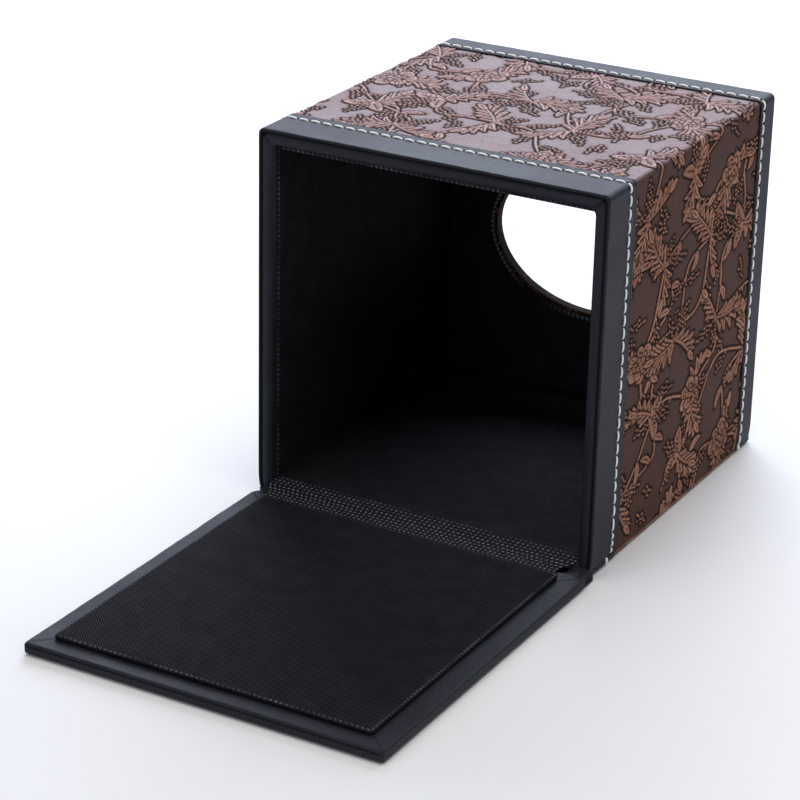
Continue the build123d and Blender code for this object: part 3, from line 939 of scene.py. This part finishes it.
def oval_to_rectangle(high, turns, steps):
    """Rays from the oval hole out to a rectangle, as (x, z), with rings packed evenly between."""
    corner = np.arctan2(high[1] - HOLE_CENTRE[1], high[0])
    marks = [corner, math.pi - corner, math.pi + corner, math.tau - corner]
    angle = np.linspace(0, math.tau, turns, endpoint=False)
    for mark in marks:
        angle[np.argmin(np.abs(angle - mark))] = mark
    ray = np.stack([np.cos(angle), np.sin(angle)], 1)
    oval = 1 / np.linalg.norm(ray / HOLE_HALF, axis=1)
    half = np.array([high[0], high[1] - HOLE_CENTRE[1]])
    reach = (half / np.maximum(np.abs(ray), 1e-9)).min(1)
    share = np.linspace(0, 1, steps)
    lengths = oval[:, None] * (1 - share) + reach[:, None] * share
    return HOLE_CENTRE + ray[:, None] * lengths[..., None], ray


def upright(flat, y):
    """Points given as (x, z), at y."""
    return np.stack([flat[..., 0], flat[..., 0] * 0 + y, flat[..., 1]], -1)


def rear_panel_piece():
    """The embossed panel of the rear face, turned through the oval hole."""
    low, high = PANEL_LOW[[0, 2]], PANEL_HIGH[[0, 2]]
    rear, front = PANEL_HIGH[1], PANEL_LOW[1]
    face, ray = oval_to_rectangle(high, 1000, 84)
    height, fields = embossed(face[..., 0] - low[0], face[..., 1] - low[1], high - low, 12)
    bend = 0.7
    from_hole = np.linalg.norm(face - face[:, :1], axis=-1)
    rounding = bend - np.sqrt(np.maximum(bend**2 - np.maximum(bend - from_hole, 0) ** 2, 0))
    shell = upright(face, rear - rounding + height * held(from_hole / 2.0 - 0.2))
    rim, edge, depths = face[:, :1], face[:, -1:], 8
    tube = upright(np.repeat(rim, depths, 1), np.linspace(front, rear - bend - 0.4, depths))
    behind = rim + ray[:, None] * 0.9
    back = [upright(edge, rear - LEATHER)]
    back += [upright(behind, y) for y in (rear - LEATHER, front + 0.1, front)]
    rings = np.concatenate([tube, shell, *back], 1)
    # Painted shade darkens the hole's edge and its sleeve, dotted with painted copper glints.
    near_hole = held(1 - from_hole / 1.5)
    glints = np.clip(wobble(distance(face[:, 0]), 8, 23) * 1.2 - 0.5, 0, 0.25)[:, None]
    fields["crest"] = fields["crest"] * (1 - near_hole) + glints * near_hole
    fields["groove"] = np.maximum(fields["groove"] * (1 - near_hole), 0.75 * near_hole)
    beyond = ((0, 0), (depths, len(back)))
    fields = {key: np.pad(value, beyond, mode="edge") for key, value in fields.items()}
    fields["crest"][:, :depths] *= np.linspace(0, 1, depths) ** 2
    cover("embossed_rear_cover", "embossed_rear_panel", BROWN, (rings, fields), around=True)


def plate(low, high, thick, step, back_step=12):
    """Rings of a thin plate in (u, v, n): its face at n = 0 with rounded edges, its back at -thick."""
    bend = min(0.45, thick * 0.45)
    profile = outline([
        (low[1], 0, bend, step),
        (high[1], 0, bend, 0.5),
        (high[1], -thick, 0, back_step),
        (low[1], -thick, 0, 0.5),
    ])
    along = np.linspace(low[0] + bend, high[0] - bend, max(2, round((high[0] - low[0]) / step)))
    turn = np.linspace(0, math.pi / 2, 4)[:-1]
    inset, fall = bend * (1 - np.cos(turn)), bend * (1 - np.sin(turn))
    u = np.concatenate([low[0] + inset, along, high[0] - inset[::-1]])
    drop = np.concatenate([fall, along * 0, fall[::-1]])
    rings = np.empty((len(u), len(profile), 3))
    rings[..., 0] = u[:, None]
    rings[..., 1] = profile[None, :, 0]
    face = profile[:, 1] > -thick / 2
    rings[..., 2] = profile[None, :, 1] - drop[:, None] * face[None]
    return rings


def edge_dots(u, v, low, high, sides):
    """A line of bonded dots a little way in from some of a cloth's edges."""
    inset, size = 0.6, 0.36
    away = {
        "u0": (u - low[0] - inset, beat(v, DOT_PITCH)),
        "u1": (high[0] - inset - u, beat(v, DOT_PITCH)),
        "v0": (v - low[1] - inset, beat(u, DOT_PITCH)),
        "v1": (high[1] - inset - v, beat(u, DOT_PITCH)),
    }
    nearest_dot = np.min([np.hypot(*away[side]) for side in sides], 0)
    return swell(nearest_dot, 0, size) * (0.45 + 0.3 * wobble(u + v, 19, 40))


def lining_panel(side, axes, face_high, edge, lip, seed):
    """A lining panel, slightly uneven, its cloth facing the room, with a dotted and folded front edge."""
    node = side + "_lining"
    low, high = corners(node)
    u_axis, v_axis, n_axis = axes
    flat_low, flat_high = low[[u_axis, v_axis]], high[[u_axis, v_axis]]
    rings = plate(flat_low, flat_high, high[n_axis] - low[n_axis], 0.6)
    u, v, n = np.moveaxis(rings, -1, 0)
    front = n > -0.5
    dots = edge_dots(u, v, flat_low, flat_high, (edge,))
    inside = plateau(u, flat_low[0] + 6, flat_high[0] - 6, 5)
    inside = inside * plateau(v, flat_low[1] + 6, flat_high[1] - 6, 5)
    sag = 0.12 * wobble(u + 0.3 * v, seed, 90) + 0.10 * wobble(v - 0.4 * u, seed + 1, 70)
    from_edge = u - flat_low[0] if edge == "u0" else v - flat_low[1]
    fold = lip * swell(from_edge, 0.6, 0.7)
    n = n + (sag * inside - 0.22 * inside + fold + 0.05 * dots) * front
    points = np.empty_like(rings)
    points[..., u_axis], points[..., v_axis] = u, v
    points[..., n_axis] = high[n_axis] + n if face_high else low[n_axis] - n
    fields = {"cloth": np.stack([u, v, 0 * u], -1), "edge": dots * front}
    piece = cover(node + "_cloth", node, LINING, (points, fields))


def rear_lining_piece():
    """The lining of the rear wall, cut round the oval hole."""
    (left, front, lowest), (right, rear, highest) = corners("rear_lining")
    high = np.array([right, highest])
    steps = 30
    face, ray = oval_to_rectangle(high, 360, steps)
    outward = np.linspace(1, 0, steps)
    face = face + ray[:, None] * 1.1 * outward[:, None]
    from_hole = np.linalg.norm(face - face[:, :1], axis=-1)
    sag = 0.15 * wobble(face[..., 0] + 0.5 * face[..., 1], 9, 70) - 0.15
    inside = held(from_hole / 6) * outward ** 0.3
    shell = upright(face, front - sag * inside + 0.25 * np.exp(-from_hole / 0.4))
    rings = np.concatenate([shell, upright(face[:, -1:], rear), upright(face[:, :1], rear)], 1)
    cloth = np.stack([rings[..., 0], rings[..., 2], 0 * rings[..., 0]], -1)
    along = beat(distance(face[:, 0]), 1.9)[:, None]
    dots = swell(np.hypot(from_hole - 0.8, along), 0, 0.42)
    fields = {"cloth": cloth, "edge": np.pad(dots, ((0, 0), (0, 2)))}
    piece = cover("rear_lining_cloth", "rear_lining", LINING, (rings, fields), around=True)
    flat = metres([right - left, highest - lowest])
    area = flat[0] * flat[1] - math.pi * float(HOLE_HALF.prod()) * MM**2


# ---- Underside ----
def bottom_strip(end, seed):
    """A black strip folded round an end of the bottom sheet; its puffed ends show at the box's sides."""
    node, row_node = f"bottom_{end}_band", f"bottom_{end}_stitching"
    low, high = corners(node)
    row = middle_y(row_node)
    puff = np.array([0.3, 0, 0])
    rings = rounded_block(low - puff, high + puff, 0.7, 0.42)
    x, y, z = np.moveaxis(rings, -1, 0)
    margin = 0.4
    holes = np.linspace(low[0] + margin, high[0] - margin, round((high[0] - low[0]) / PITCH) + 1)
    below = plateau(z, low[2] - 1, low[2] + 0.3, 0.4)
    hole = swell(np.hypot(nearest(x, holes), y - row), 0, HOLE_SIZE) * below
    ends = held((np.abs(x) - high[0] + 0.9) / 0.5) * (z > (low[2] + high[2]) / 2)
    z = z + 0.25 * hole + 0.3 * swell(y, row, 0.7) * below + (FOLD_RISE - 0.1) * ends
    points = np.stack([x, y, z], -1)
    # Painted shade in the needle holes.
    cover(f"bottom_{end}_strip", node, BLACK, (points, {"painted_shade": held(1.4 * hole)}))

    sunk = 0.36
    at = along_line([low[0], row, sunk], [high[0], row, sunk], -ALONG_Z)
    stitches = stitch_row(at, holes - low[0], ALONG_Y, seed)
    for side in (-1, 1):
        edge = side * (high[0] + puff[0] + 0.1)
        at = along_line([edge, row, low[2] - 0.1], [edge, row, high[2] + FOLD_RISE], side * ALONG_X)
        wrapped = np.array([0, high[2] + FOLD_RISE + 0.6])
        stitches += stitch_row(at, wrapped, ALONG_Y, seed, 1.4)
    cover(f"bottom_{end}_stitches", row_node, THREAD, *stitches)


def underside_pieces():
    """The sewn sheet below the box: black strip, embossed sheet, black strip, with their stitches."""
    low, high = corners("bottom_embossed_sheet")
    thick = high[2] - low[2]
    rim = np.array([0.1, 0.0])
    u, v, n = np.moveaxis(plate(low[:2] - rim, high[:2] + rim, thick, 0.7), -1, 0)
    height, fields = embossed(u - low[0], v - low[1], (high - low)[:2], 13)
    rim_spots = (np.abs(u) > high[0]) * np.clip(wobble(v, 18, 9) * 1.6, 0, 0.8)
    fields["crest"] = np.maximum(fields["crest"], rim_spots)
    z = np.minimum(0.3 - n - (height + 0.1) * (n > -0.5), thick)
    points = np.stack([u, v, z], -1)
    cover("embossed_bottom_sheet", "bottom_embossed_sheet", BROWN, (points, fields))
    bottom_strip("front", 41)
    bottom_strip("rear", 42)


# ---- Flap ----
def rounded_block(low, high, radius, step):
    """Rings along X of a block whose edges are all rounded."""
    turn = np.linspace(0, math.pi / 2, 6)[:-1]
    inset = radius * (1 - np.sin(turn))
    offset = radius * (1 - np.cos(turn))
    middle = np.linspace(low[0] + radius, high[0] - radius, round((high[0] - low[0]) / step))
    x = np.concatenate([low[0] + offset, middle, high[0] - offset[::-1]])
    inset = np.concatenate([inset, middle * 0, inset[::-1]])
    profile = outline([
        (low[1], low[2], radius, step),
        (high[1], low[2], radius, 0.4),
        (high[1], high[2], radius, step),
        (low[1], high[2], radius, 0.15),
    ])
    centre = (np.array(low[1:]) + np.array(high[1:])) / 2
    half = (np.array(high[1:]) - np.array(low[1:])) / 2
    share = 1 - inset[:, None, None] / half
    section = centre + (profile - centre)[None] * share
    return np.concatenate([np.broadcast_to(x[:, None, None], (*section.shape[:2], 1)), section], -1)


def flap_skin_piece():
    """Leather under the flap, round its edges and folded on to its margin with mitred corners."""
    low, high = FLAP_LOW, FLAP_HIGH
    rings = rounded_block(low, high, 0.9, 0.6)
    x, y, z = np.moveaxis(rings, -1, 0)
    top = plateau(z, high[2] - 0.4, high[2] + 1, 0.4)
    from_side = np.minimum(x - low[0], high[0] - x)
    from_end = np.minimum(y - low[1], high[1] - y)
    mitre = swell(from_side - from_end, 0, 0.35) * (np.minimum(from_side, from_end) < 9) * top
    nose = (y < low[1] + 0.6) * plateau(x, low[0] + 1.6, high[0] - 1.6, 1.2)
    crease = swell(z, high[2] - 1.15, 0.22) * nose
    puff = swell(z, (low[2] + high[2]) / 2 - 0.5, 1.0) * nose
    magnet_low, magnet_high = corners("flap_magnet")
    over_magnet = swell(y, middle_y("flap_magnet"), 2.0) * top
    bump = plateau(x, magnet_low[0], magnet_high[0], 3) * over_magnet
    uneven = 0.08 * wobble(x + y, 14, 60) * top - 0.08 * top
    lift = 0.10 * bump + 0.15 * puff - 0.22 * mitre - 0.35 * crease + uneven
    # Painted shade in the mitres and the crease under the front edge.
    fields = {"painted_shade": held(0.5 * mitre + 0.85 * crease)}
    cover("flap_skin", "flap_leather", BLACK, (raised(rings, lift), fields), body="flap")


def pad_piece():
    """The thin padded board on the flap: cloth pulled over it, softly crowned, with rounded corners."""
    low, high = corners("pad_fabric")
    rings = rounded_block(low, high, 0.6, 0.6)
    z = rings[..., 2]
    middle, half = (low[:2] + high[:2]) / 2, (high[:2] - low[:2]) / 2
    radius = 1.2
    spot = rings[..., :2] - middle
    corner = held((np.abs(spot) - (half - radius)) / radius)
    pull = corner * (np.sqrt(1 - corner[..., ::-1] ** 2 / 2) - 1)
    spot = spot + np.sign(spot) * pull * radius
    x, y = np.moveaxis(spot + middle, -1, 0)
    from_edge = (half - np.abs(spot)).min(-1)
    top = plateau(z, high[2] - 0.5, high[2] + 1, 0.6)
    crown = 0.35 * (1 - np.exp(-np.maximum(from_edge, 0) / 5.0)) - 0.35
    uneven = 0.10 * wobble(x * 0.8 + y * 0.5, 15, 80) + 0.08 * wobble(y - 0.5 * x, 16, 55)
    dots = 0.6 * edge_dots(x, y, low[:2], high[:2], ("u0", "u1", "v0", "v1")) * (z > high[2] - 0.25)
    z = z + top * (crown + uneven * held(from_edge / 6) - 0.08) + 0.06 * dots
    fall = high[2] - z
    cloth = np.stack([x + 0.6 * fall, y - fall, 0 * x], -1)
    points = np.stack([x, y, z], -1)
    piece = cover("flap_pad", "pad_fabric", LINING, (points, {"cloth": cloth, "edge": dots}), body="flap")


def bend_over_hinge(name, node, material, *parts):
    """A piece between the box and the flap, in the place of its CAD node, carried by neither body."""
    piece = build(name, parts, material)
    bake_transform(piece)
    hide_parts(node)
    return piece


def hinge_skin_piece():
    """The free leather between box and flap. It rises where the lining strip leaves it bare."""
    low, high = HINGE_LOW, HINGE_HIGH
    rings = plate(low[:2], high[:2], high[2] - low[2], 0.35, back_step=0.35)
    u, v, n = np.moveaxis(rings, -1, 0)
    waist = np.sin(math.pi * held((v - low[1]) / (high[1] - low[1])))
    middle, half = (low[0] + high[0]) / 2, (high[0] - low[0]) / 2
    from_end = half - np.abs(u - middle)
    x = u + np.sign(middle - u) * waist * held(1 - from_end / 4)
    bare = np.abs(u) - STRIP_HIGH[0]
    ends = held((bare + 2.6) / 1.2) * held(from_end / 0.8) ** 0.5
    saddle = FLAP_HIGH[2] - high[2] - 0.2 - 0.7 * waist
    z = high[2] + n + (ends * saddle - 0.25 * waist * (1 - ends)) * (n > -0.5)
    points = np.stack([x, v, z], -1)
    # Painted shade in the dip of the waist, away from the raised ends.
    bend_over_hinge("hinge_skin", "hinge_leather", BLACK, (points, {"painted_shade": 0.3 * waist * (1 - ends)}))


def hinge_strip_piece():
    """The lining strip over the hinge, with rows of large bonded dots up to a crease at its seam."""
    low, high = STRIP_LOW, STRIP_HIGH
    thick, size = 0.5, 0.34
    u, v, n = np.moveaxis(plate(low[:2], high[:2], thick, 0.3, back_step=0.35), -1, 0)
    knots = [low[1], HINGE_LOW[1], (HINGE_LOW[1] + HINGE_HIGH[1]) / 2, HINGE_HIGH[1], high[1]]
    heights = [low[2] + 0.6, low[2] + 0.6, low[2] + 0.75, high[2] - 0.1, high[2]]
    seam = high[1] - 2.6
    crease = swell(v, seam, 0.5)
    from_dot = np.hypot(beat(u, DOT_PITCH), beat(v - seam, DOT_PITCH))
    dot = swell(from_dot, 0, size) * (1 - crease)
    front = n > -thick / 2
    z = np.interp(v, knots, heights) + n + (0.14 * dot - 0.35 * crease) * front
    narrowed = 1 - 0.055 * plateau(v, low[1], HINGE_LOW[1], HINGE_HIGH[1] - HINGE_LOW[1])
    bright = dot * front * (0.8 + 0.35 * wobble(3 * u + 5 * v, 17, 30))
    fields = {"cloth": np.stack([u, v, 0 * u], -1), "edge": bright}
    points = np.stack([u * narrowed, v, z], -1)
    piece = bend_over_hinge("hinge_strip", "hinge_lining", LINING, (points, fields))


wrap_piece()
front_band_piece()
rear_band_piece()
rear_panel_piece()
ACROSS_FLOOR, ALONG_WALL = (0, 1, 2), (1, 2, 0)
lining_panel("top", ACROSS_FLOOR, False, "v0", TOP_LIP, 61)
lining_panel("floor", ACROSS_FLOOR, True, "v0", 0, 63)
lining_panel("left", ALONG_WALL, True, "u0", LIP, 65)
lining_panel("right", ALONG_WALL, False, "u0", LIP, 67)
rear_lining_piece()
underside_pieces()
flap_skin_piece()
pad_piece()
hinge_skin_piece()
hinge_strip_piece()

CARRIED = {BOARD: ("board",), NICKEL: ("magnet",)}
for node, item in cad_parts.items():
    for material, words in CARRIED.items():
        if node.split("_")[-1] in words:
            item.data.materials.clear()
            item.data.materials.append(material)


# ---- Stage ----
def floor_material():
    s = Shader("pale_floor")
    where = s.place()
    mottle = s.noise(where, 3.0, 3)
    colour = s.mottled(mottle, (0.94, 0.94, 0.94), (0.96, 0.96, 0.96))
    return s.finish(colour, s.span(mottle, 0.3, 0.7, 0.7, 0.75), s.bump(mottle, 0.02, 0.5))


def soft_light(name, spot, aim, size, power, colour):
    """A rectangular softbox that faces a point."""
    data = bpy.data.lights.new(name, "AREA")
    data.color = colour
    data.shape, data.size, data.size_y, data.energy = "RECTANGLE", size[0], size[1], power
    lamp = bpy.data.objects.new(name, data)
    lamp.location = spot
    lamp.rotation_euler = (Vector(aim) - Vector(spot)).to_track_quat("-Z", "Y").to_euler()
    bpy.context.scene.collection.objects.link(lamp)


bpy.ops.mesh.primitive_plane_add(size=8.0, location=(0, 0, -0.0004))
floor = bpy.context.object
floor.name = "floor"
floor.data.materials.append(floor_material())

CENTRE = (0, -0.05, 0.06)
soft_light("rear_softbox", (-0.45, 1.3, 0.85), CENTRE, (1.8, 1.0), 36, (0.76, 0.83, 1.0))
soft_light("overhead_softbox", (0.0, -0.1, 1.4), CENTRE, (1.2, 1.2), 10, (1.0, 0.98, 0.94))
soft_light("right_softbox", (1.3, -0.3, 0.5), CENTRE, (0.9, 0.9), 4, (1.0, 0.95, 0.88))
soft_light("front_softbox", (-0.5, -1.7, 0.7), CENTRE, (1.2, 0.9), 6, (0.86, 0.91, 1.0))

world = bpy.data.worlds.new("studio")
world.use_nodes = True
background = world.node_tree.nodes["Background"].inputs
background["Color"].default_value = (0.88, 0.92, 1.0, 1)
background["Strength"].default_value = 0.13
bpy.context.scene.world = world
bpy.context.scene.view_settings.view_transform = "Standard"

CAMERA_SPOT = (0.43243, -0.85983, 0.43473)
CAMERA_HEADING = math.radians(-29.179)  # from +Y towards +X
CAMERA_TILT = math.radians(-23.052)
CAMERA_ROLL = math.radians(1.271)
CAMERA_LENS = 127.11
camera_data = bpy.data.cameras.new("camera")
camera_data.lens, camera_data.sensor_width = CAMERA_LENS, 36.0
camera_data.clip_start = 0.05
camera = bpy.data.objects.new("camera", camera_data)
turn = Matrix.Rotation(-CAMERA_HEADING, 4, "Z") @ Matrix.Rotation(math.pi / 2 + CAMERA_TILT, 4, "X")
turn = turn @ Matrix.Rotation(CAMERA_ROLL, 4, "Z")
camera.matrix_world = Matrix.Translation(CAMERA_SPOT) @ turn
bpy.context.scene.collection.objects.link(camera)
bpy.context.scene.camera = camera
